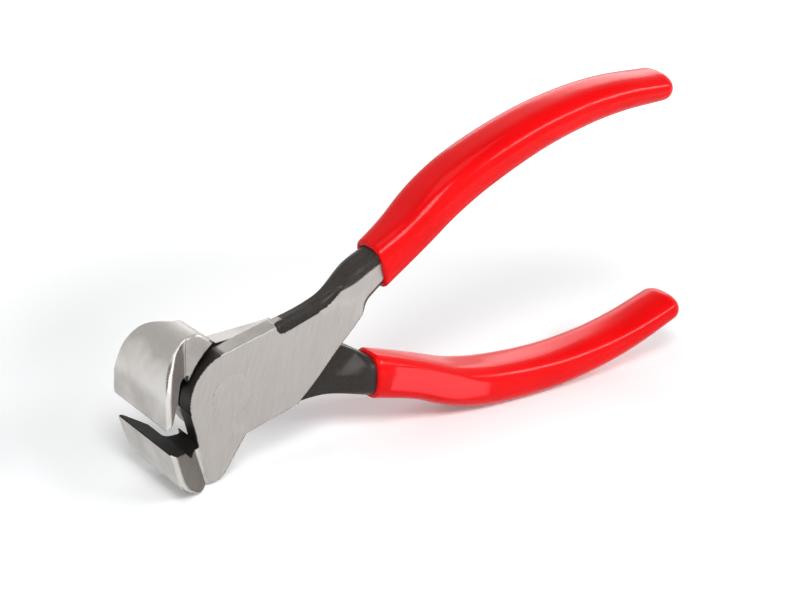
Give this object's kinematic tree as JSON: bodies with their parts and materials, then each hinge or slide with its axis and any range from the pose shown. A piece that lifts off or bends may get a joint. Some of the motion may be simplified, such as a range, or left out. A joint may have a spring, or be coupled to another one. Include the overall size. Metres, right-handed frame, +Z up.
{
  "type": "end cutting nippers",
  "caption": "End cutting nippers with two lapped forged levers, a flush rivet joint, broad curved jaws and dipped grips.",
  "frame": {"origin": "middle of the bounding box at the level of the surface that the tool stands on", "axes": "+X from the jaws towards the handle ends, +Y away from the front lever's ground face, +Z up"},
  "size_m": [0.1892, 0.0306, 0.094],
  "materials": {
    "ground_steel": "satin ground faces on a black forging",
    "rivet_steel": "satin, ground flush with the plates",
    "grip_plastic": "glossy dipped red plastic"
  },
  "bodies": {
    "front": {"front_lever": "ground_steel", "rivet": "rivet_steel", "upper_grip": "grip_plastic"},
    "rear": {"rear_lever": "ground_steel", "lower_grip": "grip_plastic"}
  },
  "joints": [
    {"name": "handle_pivot", "type": "hinge", "parent": "front", "child": "rear", "pos_m": [-0.06891, 0, 0.02528], "axis": [0, 1, 0], "range_deg": [-16.2, 23.6]}
  ]
}
